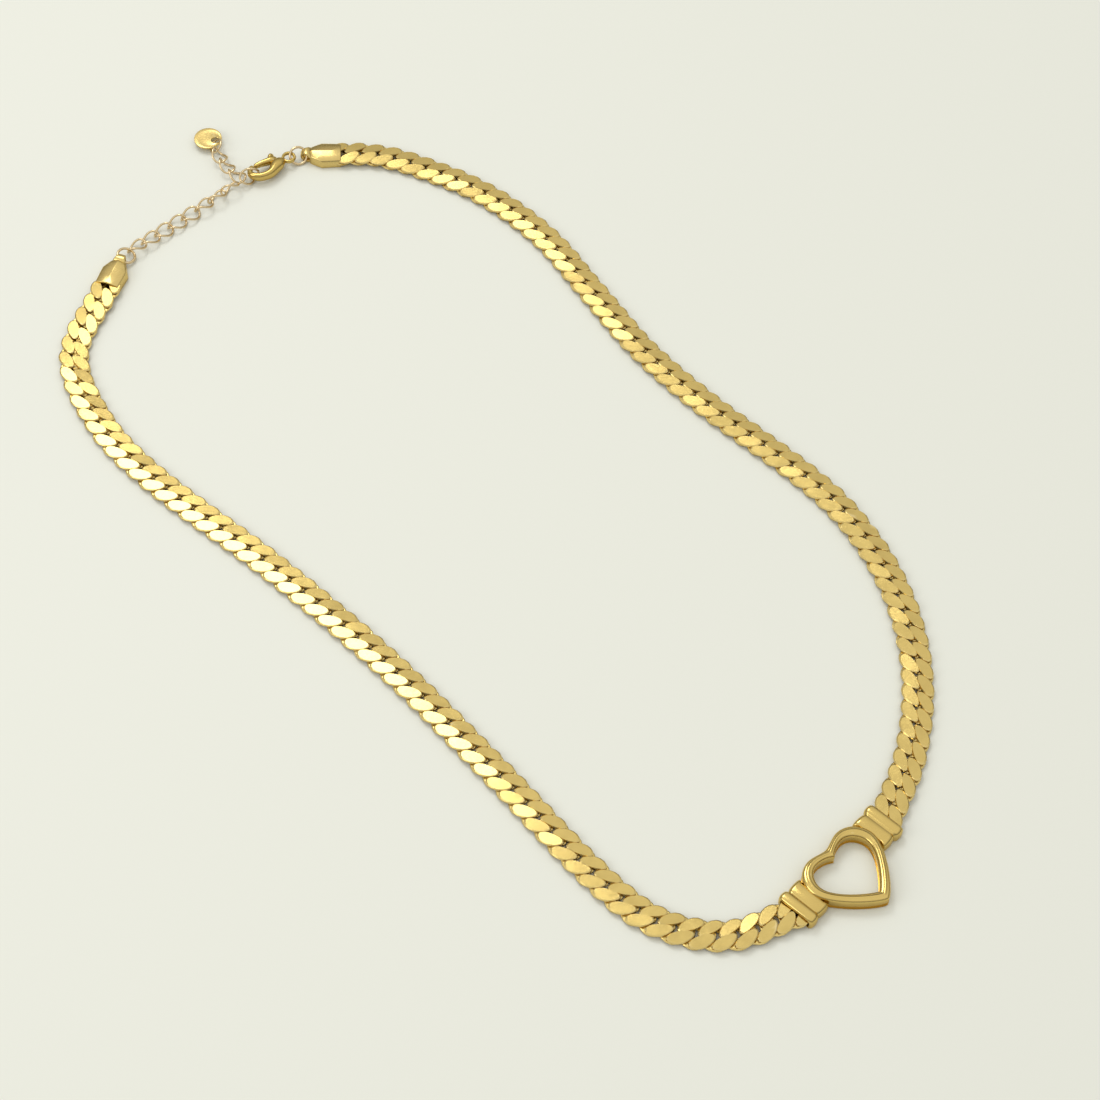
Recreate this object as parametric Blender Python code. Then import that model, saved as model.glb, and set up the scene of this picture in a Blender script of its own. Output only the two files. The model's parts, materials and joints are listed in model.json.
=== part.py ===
"""Pendant necklace: a flat curb chain with an open-heart centrepiece, laid out on a table.

The chain is made of rigid runs of links that hinge on each other. The left run and the right run of each pair
hinge about one shared fold line, so the necklace can fold over without coming undone at the clasp.
Units are metres, +Z is up, and the origin is the middle of the footprint, on the table.
"""

import math

import bmesh
import bpy
from mathutils import Matrix, Vector
from mathutils.geometry import interpolate_bezier

MM = 0.001

# Fits
FIXED_GAP = 0.15 * MM        # between pieces that are soldered together
HEART_GAP = 0.22 * MM        # between the heart and its collars
RUNNING_GAP = 0.15 * MM      # between pieces that move on each other

# Flat curb chain
LINKS_PER_SIDE = 60
RUNS_PER_SIDE = 12           # rigid runs, besides the two soldered end links
LINK_WIDTH = 5.1 * MM
LINK_WIRE = 1.2 * MM
LINK_REACH = 2.45 * MM       # middle of a link to the middle of its end wire
LINK_TWIST = math.radians(-45)
CHAIN_THICKNESS = 1.3 * MM   # the links are rolled flat to this

# Heart centrepiece
HEART_WIDTH = 15.5 * MM
HEART_HEIGHT = 13.9 * MM
HEART_BAND = 1.9 * MM
HEART_THICKNESS = 2.75 * MM
HEART_EDGE = 0.45 * MM       # rounding of the band's edges
HEART_RISE = 4.15 * MM       # lobe tops above the chain's line

# Collars
COLLAR_LENGTH = 4.15 * MM    # side of the heart to a collar's mouth
COLLAR_END = HEART_WIDTH / 2 + COLLAR_LENGTH
COLLAR_WIDTH = 7.2 * MM
COLLAR_HEIGHT = 2.45 * MM
COLLAR_GROOVE = 0.3 * MM     # depth between the two ridges
COLLAR_FLOOR = 0.3 * MM
POCKET_WALL = 0.4 * MM       # between the pocket and the heart
END_LINK_INSET = 0.45 * MM   # mouth of a collar or cap to the middle of the link soldered in it

# End caps
CAP_LENGTH = 7.9 * MM        # mouth to the end of the eye
CAP_WIDTH = 5.4 * MM
CAP_HEIGHT = 2.5 * MM
CAP_EDGE = 2.15 * MM         # height of the cap's sides
CAP_SHOULDER = 3.9 * MM      # mouth to where the cap starts to taper
EYE_RADIUS = 1.2 * MM
EYE_HOLE = 1.7 * MM
EYE_THICKNESS = 0.5 * MM
EYE_LIFT = 0.02 * MM         # the eye stands clear of the table by this much

# Jump rings and the small ring of the tag
RING_RADIUS = 1.65 * MM      # to the middle of the wire
RING_WIRE = 0.5 * MM
TAG_RING_RADIUS = 1.4 * MM
TAG_RING_ROLL = math.radians(43)

# Extender chain
TAIL_ROLLS = [math.radians(roll) for roll in (20, 30, 30)]
EXTENDER_REACH = 2.0 * MM
EXTENDER_WIDTH = 3.4 * MM
EXTENDER_WIRE = 0.45 * MM
EXTENDER_TWIST = math.radians(45)
EXTENDER_ROLLS = [math.radians(roll) for roll in (-24, -12, 0, 0, 0, -25, -45, -60)]

# Tag
TAG_RADIUS = 2.7 * MM
TAG_THICKNESS = 0.45 * MM
TAG_HOLE = 1.6 * MM
TAG_HOLE_REACH = 1.6 * MM    # middle of the tag to the middle of its hole

# Lobster clasp, measured from the middle of its eye towards the nose
CLASP_REACH = 9.0 * MM
CLASP_WIDTH = 4.3 * MM
CLASP_THICKNESS = 1.4 * MM
CLASP_EYE_RADIUS = 1.4 * MM
CLASP_EYE_HOLE = 1.7 * MM
CLASP_ROOT_BITE = 0.23 * MM  # the body's root runs this far into its eye
CLASP_SLOT = 0.96 * MM       # height of the slot that the lever works in
LEVER_THICKNESS = 0.3 * MM
PIN_RADIUS = 0.3 * MM
HOOK_SLACK = 0.78 * MM       # between the hook and the link that hangs on it
SPRING_WIRE = 0.2 * MM

# How the chain lies: waypoints of each side's middle line, from the collar round to the cap, in millimetres
LEFT_LAY = [(-21.8, 5.2), (-27.7, 15.2), (-28.2, 27.6), (-24.8, 53.8), (-21.8, 81.4), (-21.0, 110.0),
            (-21.9, 140.0), (-19.9, 156.0), (-12.5, 171.5), (2.3, 179.1)]
RIGHT_LAY = [(24.2, 4.8), (36.7, 13.0), (46.8, 24.0), (53.8, 37.2), (57.3, 51.5), (58.2, 80.5), (60.0, 96.0),
             (64.1, 112.0), (68.1, 128.2), (68.3, 144.4), (64.6, 159.2), (61.0, 166.5), (57.0, 170.9)]
LEFT_RING_TURN = -0.22       # jump rings turn this much from their cap's line, in radians
RIGHT_RING_TURN = 0.25
RING_PITCH = [-0.10, 0.11]     # left and right ring, their far ends down or up, in radians
RING_ROLL = [math.radians(18), math.radians(-42)]
CLASP_TURN = 0.33
HOOKED_LINK_ROLL = math.radians(-62)
TAIL_WRAP = math.radians(-45)  # where the tail loops round the hooked link's wire, from its free end
TAIL_TURN = math.radians(-78)
TAIL_BEND = math.radians(-13)
TAG_TURN = math.radians(60)

GOLD = (0.83, 0.60, 0.23, 1.0)
SATIN_GOLD = (0.80, 0.58, 0.24, 1.0)
PALE_GOLD = (0.86, 0.72, 0.46, 1.0)
STEEL = (0.62, 0.60, 0.57, 1.0)


def material(name, color, roughness):
    mat = bpy.data.materials.new(name)
    mat.use_nodes = True
    shader = mat.node_tree.nodes["Principled BSDF"]
    shader.inputs["Base Color"].default_value = color
    shader.inputs["Metallic"].default_value = 1.0
    shader.inputs["Roughness"].default_value = roughness
    return mat


def clear_scene():
    for obj in list(bpy.data.objects):
        bpy.data.objects.remove(obj)


# ---------------------------------------------------------------- frames and bodies

world_of = {}


def frame(origin, heading, up=(0, 0, 1), roll=0.0):
    """A placement at origin whose X runs along heading, with Z as near to up as it can be, then rolled about X."""
    x = Vector(heading).normalized()
    y = Vector(up).cross(x).normalized()
    z = x.cross(y)
    turn = Matrix((x, y, z)).transposed().to_4x4()
    return Matrix.Translation(origin) @ turn @ Matrix.Rotation(roll, 4, "X")


def place(obj, parent, world):
    obj.parent = parent
    obj.matrix_basis = (world_of[parent].inverted() @ world) if parent else world
    world_of[obj] = world


def add_body(name, parent, world):
    """An empty on a joint: its X is the joint's axis, and everything past the joint hangs from it."""
    empty = bpy.data.objects.new(name, None)
    bpy.context.collection.objects.link(empty)
    empty.empty_display_size = 2 * MM
    place(empty, parent, world)
    return empty


def add_piece(name, bm, mat, body, world):
    """One solid, with its faces turned outwards, hung on its body."""
    bmesh.ops.recalc_face_normals(bm, faces=bm.faces)
    mesh = bpy.data.meshes.new(name)
    bm.to_mesh(mesh)
    bm.free()
    mesh.shade_smooth()
    mesh.set_sharp_from_angle(angle=math.radians(40))
    mesh.materials.append(mat)
    obj = bpy.data.objects.new(name, mesh)
    bpy.context.collection.objects.link(obj)
    place(obj, body, world)
    return obj


def boolean(obj, other, operation):
    """Cuts or fuses other into obj, and hides other from the build."""
    modifier = obj.modifiers.new(operation.title(), "BOOLEAN")
    modifier.operation = operation
    modifier.solver = "EXACT"
    modifier.object = other
    other.hide_render = True
    other.display_type = "WIRE"


# ---------------------------------------------------------------- plain shapes

def loop_of(rows, close_rows=True):
    """A mesh through rows of points, each row a closed ring of points."""
    bm = bmesh.new()
    grid = [[bm.verts.new(point) for point in row] for row in rows]
    count = len(grid) if close_rows else len(grid) - 1
    for i in range(count):
        row, following = grid[i], grid[(i + 1) % len(grid)]
        for j in range(len(row)):
            k = (j + 1) % len(row)
            bm.faces.new((row[j], following[j], following[k], row[k]))
    if not close_rows:
        bm.faces.new(grid[0])
        bm.faces.new(grid[-1])
    return bm


def link_wire_at(reach, width, wire, twist, turn):
    """The middle of a link's wire at an angle from its far end, with its outward and its upward direction."""
    side_reach = (width - wire) / 2
    phi = twist * math.cos(turn)
    across = Vector((0, math.cos(phi), math.sin(phi)))
    upward = Vector((0, -math.sin(phi), math.cos(phi)))
    middle = Vector((reach * math.cos(turn), 0, 0)) + across * side_reach * math.sin(turn)
    outward = Vector((side_reach * math.cos(turn), 0, 0)) + across * reach * math.sin(turn)
    return middle, outward.normalized(), upward


def twisted_link(reach, width, wire, twist, steps=12, sides=5, half_height=None):
    """An oval link along X, twisted so that its two ends cross their neighbours' ends."""
    rows = []
    for i in range(steps):
        middle, outward, upward = link_wire_at(reach, width, wire, twist, math.tau * (i + 0.5) / steps)
        row = []
        for j in range(sides):
            angle = math.tau * j / sides - math.pi / 2
            point = middle + (outward * math.cos(angle) + upward * math.sin(angle)) * wire / 2
            if half_height:
                point.z = max(-half_height, min(half_height, point.z))
            row.append(point)
        rows.append(row)
    return loop_of(rows)


def round_ring(radius, wire, steps=16, sides=6):
    return twisted_link(radius, 2 * radius + wire, wire, 0.0, steps, sides)


def box(low, high):
    bm = bmesh.new()
    size = Vector(high) - Vector(low)
    middle = (Vector(high) + Vector(low)) / 2
    bmesh.ops.create_cube(bm, size=1.0, matrix=Matrix.Translation(middle) @ Matrix.Diagonal((*size, 1)))
    return bm


def rod(radius, length, steps=12):
    """A rod along Z, with its middle at the origin."""
    bm = bmesh.new()
    bmesh.ops.create_cone(bm, segments=steps, radius1=radius, radius2=radius, depth=length, cap_ends=True)
    return bm


def plate(outline, low, high):
    """A flat piece of the given outline, from low to high."""
    bm = bmesh.new()
    face = bm.faces.new([bm.verts.new((x, y, low)) for x, y in outline])
    grown = bmesh.ops.extrude_face_region(bm, geom=[face])
    top = [part for part in grown["geom"] if isinstance(part, bmesh.types.BMVert)]
    bmesh.ops.translate(bm, verts=top, vec=(0, 0, high - low))
    return bm


# ---------------------------------------------------------------- the chain's lay

def smooth_route(points, per_span=24):
    """A smooth line through the points, as a dense list."""
    line = []
    for i in range(len(points) - 1):
        before = points[max(i - 1, 0)]
        a, b = points[i], points[i + 1]
        after = points[min(i + 2, len(points) - 1)]
        span = (b - a).length
        leave = (b - before).normalized() * span / 3
        arrive = (after - a).normalized() * span / 3
        part = interpolate_bezier(a, a + leave, b - arrive, b, per_span + 1)
        line += part[:-1]
    return line + [points[-1]]


def even_points(line, count):
    """Count points along the line, the same distance apart."""
    lengths = [0.0]
    for a, b in zip(line, line[1:]):
        lengths.append(lengths[-1] + (b - a).length)
    found = []
    i = 0
    for n in range(count):
        wanted = lengths[-1] * n / (count - 1)
        while i < len(line) - 2 and lengths[i + 1] < wanted:
            i += 1
        part = (wanted - lengths[i]) / (lengths[i + 1] - lengths[i])
        found.append(line[i].lerp(line[i + 1], part))
    return found


def link_points(side, lay):
    """Middles of one side's links, from the collar to the cap, raised where the end links enter them."""
    first = Vector((side * (COLLAR_END - END_LINK_INSET), 0, 0))
    points = [first] + [Vector((x * MM, y * MM, 0)) for x, y in lay]
    middles = even_points(smooth_route(points), LINKS_PER_SIDE)
    low = CHAIN_THICKNESS / 2
    high = COLLAR_FLOOR + FIXED_GAP + low
    raised_links = 5
    for i, middle in enumerate(middles):
        from_end = min(i, LINKS_PER_SIDE - 1 - i)
        share = max(0.0, 1 - from_end / raised_links)
        middle.z = low + (high - low) * share * share * (3 - 2 * share)
    return middles


def link_frames(middles):
    frames = []
    for i, middle in enumerate(middles):
        ahead = middles[min(i + 1, len(middles) - 1)] - middles[max(i - 1, 0)]
        frames.append(frame(middle, ahead))
    return frames


def run_lengths():
    """Number of links in each rigid run, as even as can be."""
    free = LINKS_PER_SIDE - 2
    return [free * (i + 1) // RUNS_PER_SIDE - free * i // RUNS_PER_SIDE for i in range(RUNS_PER_SIDE)]


# ---------------------------------------------------------------- chain pieces

def curb_link():
    return twisted_link(LINK_REACH, LINK_WIDTH, LINK_WIRE, LINK_TWIST, half_height=CHAIN_THICKNESS / 2)


def run_outline(frames, spacing):
    """Outline of the fused links in the middle of a run, with a slanted lobe for each link."""
    crest = LINK_WIDTH / 2 - 0.03 * LINK_WIDTH
    valley = crest * 0.8
    tongue = LINK_WIRE * 0.75
    slant = spacing * 0.24
    inset = spacing * 0.18
    left = [(0, inset, tongue)]
    for i in range(1, len(frames) - 1):
        left += [(i, -slant * 1.1, valley), (i, slant, crest)]
    last = len(frames) - 1
    left += [(last, -slant * 1.1, valley), (last, -inset, tongue)]
    right = [(last - i, -x, -y) for i, x, y in left]
    outline = []
    for i, x, y in left + right:
        point = frames[i] @ Vector((x, -y, 0))
        outline.append((point.x, point.y))
    return outline


def chain_run(name, frames, spacing, mat, body, world):
    """A rigid run of links: its end links are open rings that pass through their neighbours."""
    to_local = world.inverted()
    local = [to_local @ link for link in frames]
    half = CHAIN_THICKNESS / 2 - 0.05 * MM
    middle = plate(run_outline(local, spacing), -half, half)
    lift = [(link.translation.x, link.translation.z) for link in local]
    for vert in middle.verts:
        vert.co.z += min(lift, key=lambda spot: abs(spot[0] - vert.co.x))[1]
    run = add_piece(name, middle, mat, body, world)
    for place_name, link in (("first", frames[0]), ("last", frames[-1])):
        end = add_piece(f"{name}_{place_name}_link", curb_link(), mat, body, link)
        boolean(run, end, "UNION")


# ---------------------------------------------------------------- centrepiece

def heart_line(notch, top, widest, tip, handles):
    """Half of a heart outline as four points joined by three curves, then mirrored round to a closed line."""
    to_top, to_widest, to_tip = handles
    spans = [
        (notch, to_top[0], to_top[1], top, 5),
        (top, to_widest[0], to_widest[1], widest, 6),
        (widest, to_tip[0], to_tip[1], tip, 8),
    ]
    half = []
    for a, leave, arrive, b, count in spans:
        flat = [Vector((x, y, 0)) for x, y in (a, leave, arrive, b)]
        half += interpolate_bezier(*flat, count + 1)[:-1]
    half.append(Vector((*tip, 0)))
    mirrored = [Vector((-point.x, point.y, 0)) for point in reversed(half[1:-1])]
    return half + mirrored


def heart_lines():
    """The outer and the inner line of the band, from the notch round to the right."""
    w = HEART_WIDTH / 2
    top = HEART_RISE
    low = top - HEART_HEIGHT
    band = HEART_BAND
    outer = heart_line(
        (0, top - 0.75 * MM), (0.46 * w, top), (w, -0.2 * MM), (0, low),
        (((0.13 * w, top - 0.75 * MM), (0.31 * w, top)),
         ((0.76 * w, top), (w, 0.55 * top)),
         ((w, 0.36 * low), (0.18 * w, low + 0.1 * MM))),
    )
    inner = heart_line(
        (0, top - 0.8 * MM - band), (0.40 * w, top - band + 0.35 * MM), (w - band, -0.5 * MM), (0, low + band + 0.1 * MM),
        (((0.12 * w, top - band), (0.27 * w, top - band + 0.35 * MM)),
         ((0.58 * w, top - band + 0.35 * MM), (w - band, 0.30 * top)),
         ((w - band, 0.33 * low), (0.16 * w, low + band + 0.85 * MM))),
    )
    return outer, inner


def heart_band():
    outer, inner = heart_lines()
    edge = HEART_EDGE
    share = edge / HEART_BAND
    high = HEART_THICKNESS
    profile = [(0, edge), (share, 0), (1 - share, 0), (1, edge), (1, high - edge), (1 - share, high - edge / 4),
               (0.5, high), (share, high - edge / 4), (0, high - edge)]
    rows = []
    for out_point, in_point in zip(outer, inner):
        rows.append([in_point.lerp(out_point, across) + Vector((0, 0, z)) for across, z in profile])
    return loop_of(rows)


def heart_edge_at(y):
    """Half-width of the heart's outer line at height y, read from the line."""
    outer, _ = heart_lines()
    right = [point for point in outer if point.x >= 0]
    best = 0.0
    for a, b in zip(right, right[1:]):
        if min(a.y, b.y) <= y <= max(a.y, b.y) and a.y != b.y:
            best = max(best, a.lerp(b, (y - a.y) / (b.y - a.y)).x)
    return best


def collar_block():
    """A collar along +X: two rounded ridges across the chain, with its inner end following the heart."""
    half = COLLAR_WIDTH / 2
    start = HEART_WIDTH / 2 + HEART_GAP
    groove = (start + COLLAR_END) / 2
    ridge = (COLLAR_END - groove) / 2
    rows = []
    for share in (-1.0, -0.93, -0.8, -0.6, -0.4, -0.2, 0.0, 0.2, 0.4, 0.6, 0.8, 0.93, 1.0):
        y = share * half
        drop = (1 - math.sqrt(1 - (0.93 * share) ** 8)) * COLLAR_HEIGHT * 0.6
        inner = heart_edge_at(y) + HEART_GAP
        row = [Vector((inner, y, COLLAR_FLOOR * 0.3 + drop * 0.2)), Vector((inner, y, COLLAR_HEIGHT * 0.85 - drop))]
        for middle in (groove - ridge, groove + ridge):
            for lean in (-0.6, 0.0, 0.6, 1.0):
                x = middle + lean * ridge
                crown = 1 - lean * lean
                row.append(Vector((x, y, COLLAR_HEIGHT - COLLAR_GROOVE * (1 - crown) - drop)))
        row.append(Vector((COLLAR_END, y, COLLAR_FLOOR * 0.3 + drop * 0.2)))
        rows.append(row)
    return loop_of(rows, close_rows=False)


def pocket_box():
    """The hollow in a collar that holds the soldered end link."""
    side = LINK_WIDTH / 2 + FIXED_GAP
    inner = HEART_WIDTH / 2 + HEART_GAP + POCKET_WALL
    top = COLLAR_FLOOR + 2 * FIXED_GAP + CHAIN_THICKNESS
    return box((inner, -side, COLLAR_FLOOR), (COLLAR_END + 2 * MM, side, top))


# ---------------------------------------------------------------- end caps

def cap_block():
    """A tapered cap along +X with its mouth at the origin: a ridged roof that runs out into a flat tip."""
    half = CAP_WIDTH / 2
    tip = EYE_THICKNESS / 2
    eye = CAP_LENGTH - EYE_RADIUS
    stations = [
        (0.0, half * 0.92, CAP_EDGE, CAP_HEIGHT - 0.1 * MM),
        (CAP_SHOULDER, half, CAP_EDGE, CAP_HEIGHT),
        (eye - 0.3 * MM, tip * 1.5, EYE_RADIUS * 1.9, EYE_RADIUS * 2.05),
        (eye, tip, EYE_RADIUS * 1.8, EYE_RADIUS * 1.9),
    ]
    rows = []
    for x, side, edge_top, ridge_top in stations:
        rows.append([Vector((x, -side, 0)), Vector((x, side, 0)), Vector((x, side, edge_top)),
                     Vector((x, 0, ridge_top)), Vector((x, -side, edge_top))])
    return loop_of(rows, close_rows=False)


def eye_spot():
    """The middle of a cap's eye, from the middle of the cap's mouth."""
    return Vector((CAP_LENGTH - EYE_RADIUS, 0, EYE_RADIUS + EYE_LIFT))


def across_eye(radius, length, steps):
    """A rod through the middle of a cap's eye, lying across the chain."""
    bm = rod(radius, length, steps)
    lie = Matrix.Translation(eye_spot()) @ Matrix.Rotation(math.pi / 2, 4, "X")
    bmesh.ops.transform(bm, matrix=lie, verts=bm.verts)
    return bm


def cap_eye():
    return across_eye(EYE_RADIUS, EYE_THICKNESS, 14)


def cap_eye_hole():
    return across_eye(EYE_HOLE / 2, 4 * EYE_THICKNESS, 12)


def cap_slot():
    """The slot that the soldered end link sits in."""
    depth = LINK_REACH + LINK_WIRE / 2 - END_LINK_INSET + FIXED_GAP
    top = COLLAR_FLOOR + 2 * FIXED_GAP + CHAIN_THICKNESS
    return box((-1 * MM, -CAP_WIDTH, COLLAR_FLOOR), (depth, CAP_WIDTH, top))


# ---------------------------------------------------------------- clasp

def clasp_outline():
    """Outline of the clasp's body and hook, as shares of its reach and its width."""
    root = (CLASP_EYE_RADIUS - CLASP_ROOT_BITE) / CLASP_REACH
    outer = [(root, -0.15), (0.25, -0.34), (0.42, -0.47), (0.60, -0.50), (0.78, -0.45), (0.92, -0.28),
             (1.00, 0.00), (0.98, 0.24), (0.89, 0.42), (0.79, 0.48)]
    inner = [(0.79, 0.27), (0.85, 0.20), (0.88, 0.03), (0.84, -0.12), (0.73, -0.23), (0.60, -0.27),
             (0.51, -0.22), (0.47, -0.07), (0.46, 0.12)]
    shoulder = [(0.43, 0.42), (0.29, 0.41), (root, 0.16)]
    return [(x * CLASP_REACH, -y * CLASP_WIDTH) for x, y in outer + inner + shoulder]


def lever_outline():
    """Outline of the gate lever: its root round the pin, the thumb piece, and the gate that meets the hook."""
    points = [(0.24, 0.12), (0.23, 0.30), (0.28, 0.50), (0.38, 0.57), (0.47, 0.45), (0.62, 0.49), (0.765, 0.48),
              (0.765, 0.29), (0.62, 0.30), (0.50, 0.20), (0.42, 0.08), (0.32, 0.04)]
    return [(x * CLASP_REACH, -y * CLASP_WIDTH) for x, y in points]


def pin_spot():
    return Vector((0.34 * CLASP_REACH, -0.23 * CLASP_WIDTH, 0))


def clasp_eye():
    return round_ring((CLASP_EYE_RADIUS + CLASP_EYE_HOLE / 2) / 2, CLASP_EYE_RADIUS - CLASP_EYE_HOLE / 2)


# ---------------------------------------------------------------- assembly

def build_centrepiece(root, mats, lefts, rights):
    add_piece("heart_centrepiece", heart_band(), mats["gold"], root, Matrix.Identity(4))
    for side, name, frames in ((-1, "left", lefts), (1, "right", rights)):
        turn = Matrix.Identity(4)
        if side < 0:
            turn = Matrix.Rotation(math.pi, 4, "Z")
        block = collar_block()
        if side < 0:
            for vert in block.verts:
                vert.co.y *= -1
        collar = add_piece(f"{name}_collar", block, mats["gold"], root, turn)
        pocket = add_piece(f"{name}_collar_pocket", pocket_box(), mats["gold"], root, turn)
        boolean(collar, pocket, "DIFFERENCE")
        add_piece(f"{name}_collar_link", curb_link(), mats["satin"], root, frames[0])


def fold_frame(left_spot, right_spot, side, sign):
    """The shared fold line of a pair of hinges, seen from one of them. X is the axis."""
    spot = left_spot if side < 0 else right_spot
    return frame(spot, (right_spot - left_spot) * sign)


def build_sides(root, mats, lefts, rights):
    """Both chain sides, run by run, each pair of runs on one fold line. Gives the bodies of the two caps."""
    counts = run_lengths()
    bodies = {"left": root, "right": root}
    spacing = {"left": (lefts[1].translation - lefts[0].translation).length,
               "right": (rights[1].translation - rights[0].translation).length}
    first = 1
    for number, count in enumerate(counts + [1], start=1):
        sign = 1 if number % 2 else -1
        spots = {name: (frames[first - 1].translation + frames[first].translation) / 2
                 for name, frames in (("left", lefts), ("right", rights))}
        for name, side, frames in (("left", -1, lefts), ("right", 1, rights)):
            is_cap = number == len(counts) + 1
            title = f"{name}_cap_body" if is_cap else f"{name}_run_{number:02d}_body"
            fold = fold_frame(spots["left"], spots["right"], side, sign)
            bodies[name] = add_body(title, bodies[name], fold)
            if is_cap:
                add_piece(f"{name}_cap_link", curb_link(), mats["satin"], bodies[name], frames[first])
                continue
            links = frames[first:first + count]
            world = frame(spots[name], links[0].col[0].xyz)
            chain_run(f"{name}_run_{number:02d}", links, spacing[name], mats["satin"], bodies[name], world)
        first += count
    return bodies


def build_cap(name, frames, mats, body):
    """An end cap over the last link. Gives the middle of its eye and the cap's line."""
    last = frames[-1]
    along = Vector((last.col[0].x, last.col[0].y, 0)).normalized()
    mouth = last.translation + along * END_LINK_INSET
    mouth.z = 0
    world = frame(mouth, along)
    cap = add_piece(f"{name}_end_cap", cap_block(), mats["gold"], body, world)
    for part, shape, operation in (("eye", cap_eye(), "UNION"), ("eye_hole", cap_eye_hole(), "DIFFERENCE"),
                                   ("slot", cap_slot(), "DIFFERENCE")):
        boolean(cap, add_piece(f"{name}_cap_{part}", shape, mats["gold"], body, world), operation)
    return world @ eye_spot(), along


def turned(direction, angle):
    return Matrix.Rotation(angle, 3, "Z") @ direction


def build_rings(bodies, mats, ends):
    """Both jump rings, hinged on the line through the two eyes. Gives their bodies, far points and lines."""
    (left_eye, left_line), (right_eye, right_line) = ends
    out = {}
    for name, side, eye, line, turn, pitch, roll in (
        ("left", -1, left_eye, left_line, LEFT_RING_TURN, RING_PITCH[0], RING_ROLL[0]),
        ("right", 1, right_eye, right_line, RIGHT_RING_TURN, RING_PITCH[1], RING_ROLL[1]),
    ):
        along = turned(line, turn)
        along.z = math.tan(pitch)
        along.normalize()
        body = add_body(f"{name}_jump_ring_body", bodies[name], fold_frame(left_eye, right_eye, side, 1))
        world = frame(eye + along * RING_RADIUS, along, roll=roll)
        add_piece(f"{name}_jump_ring", round_ring(RING_RADIUS, RING_WIRE), mats["pale"], body, world)
        out[name] = (body, eye + along * 2 * RING_RADIUS, Vector((along.x, along.y, 0)).normalized())
    return out


def hinge_frame(spot, line, kind, sign):
    """A joint frame at spot: X is across the line for a bend, and upright for a swing."""
    if kind == "bend":
        return frame(spot, Vector((-line.y, line.x, 0)) * sign)
    return frame(spot, (0, 0, sign), up=(line.x, line.y, 0))


def small_link():
    return twisted_link(EXTENDER_REACH, EXTENDER_WIDTH, EXTENDER_WIRE, EXTENDER_TWIST, steps=12, sides=4)


def resting_height(roll):
    """Height of a small link's middle when it lies on the table, rolled this far about its length."""
    lean = Matrix.Rotation(roll, 3, "X")
    around = [math.tau * i / 24 for i in range(24)]
    wire = [link_wire_at(EXTENDER_REACH, EXTENDER_WIDTH, EXTENDER_WIRE, EXTENDER_TWIST, turn)[0] for turn in around]
    return EXTENDER_WIRE / 2 - min((lean @ point).z for point in wire)


def add_small_link(name, middle, line, kind, sign, joint, parent, mats, roll=0.0):
    body = add_body(f"{name}_body", parent, hinge_frame(joint, line, kind, sign))
    add_piece(name, small_link(), mats["pale"], body, frame(middle, line, roll=roll))
    return body


def build_clasp(ring, mats):
    """The clasp on the right jump ring. Gives its body, its line and the inside of its nose."""
    parent, far, line = ring
    along = turned(line, CLASP_TURN)
    eye_wire = CLASP_EYE_RADIUS - CLASP_EYE_HOLE / 2
    eye_middle_radius = (CLASP_EYE_RADIUS + CLASP_EYE_HOLE / 2) / 2
    contact = (RING_WIRE + eye_wire) / 2 + 2 * RUNNING_GAP
    eye = far + along * (eye_middle_radius - contact)
    body = add_body("clasp_body_frame", parent, hinge_frame(far, along, "bend", -1))
    world = frame(eye, along)
    half = CLASP_THICKNESS / 2
    clasp = add_piece("clasp_hook_body", plate(clasp_outline(), -half, half), mats["gold"], body, world)
    slot_half = CLASP_SLOT / 2
    slot = box((0.2 * CLASP_REACH, -CLASP_WIDTH, -slot_half), (0.6 * CLASP_REACH, 0.05 * CLASP_WIDTH, slot_half))
    hole = rod(PIN_RADIUS + FIXED_GAP, 2 * CLASP_THICKNESS)
    pin_world = world @ Matrix.Translation(pin_spot())
    boolean(clasp, add_piece("clasp_eye_loop", clasp_eye(), mats["gold"], body, world), "UNION")
    boolean(clasp, add_piece("clasp_slot", slot, mats["gold"], body, world), "DIFFERENCE")
    boolean(clasp, add_piece("clasp_pin_hole", hole, mats["gold"], body, pin_world), "DIFFERENCE")
    add_piece("clasp_pin", rod(PIN_RADIUS, CLASP_THICKNESS), mats["steel"], body, pin_world)
    spring_world = pin_world @ Matrix.Translation((0, 0, SPRING_WIRE / 2 + RUNNING_GAP - slot_half))
    spring = round_ring(PIN_RADIUS + SPRING_WIRE / 2 + RUNNING_GAP, SPRING_WIRE, steps=12, sides=4)
    add_piece("clasp_spring", spring, mats["steel"], body, spring_world)
    build_lever(body, mats, world, pin_world)
    nose = eye + along * 0.88 * CLASP_REACH
    return body, along, nose


def build_lever(body, mats, world, pin_world):
    top = CLASP_SLOT / 2 - RUNNING_GAP
    lever_body = add_body("lever_body", body, frame(pin_world.translation, (0, 0, 1), up=(1, 0, 0)))
    lever = add_piece("clasp_lever", plate(lever_outline(), top - LEVER_THICKNESS, top), mats["gold"],
                      lever_body, world)
    hole = rod(PIN_RADIUS + RUNNING_GAP, 2 * CLASP_THICKNESS)
    boolean(lever, add_piece("lever_pin_hole", hole, mats["gold"], lever_body, pin_world), "DIFFERENCE")


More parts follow.
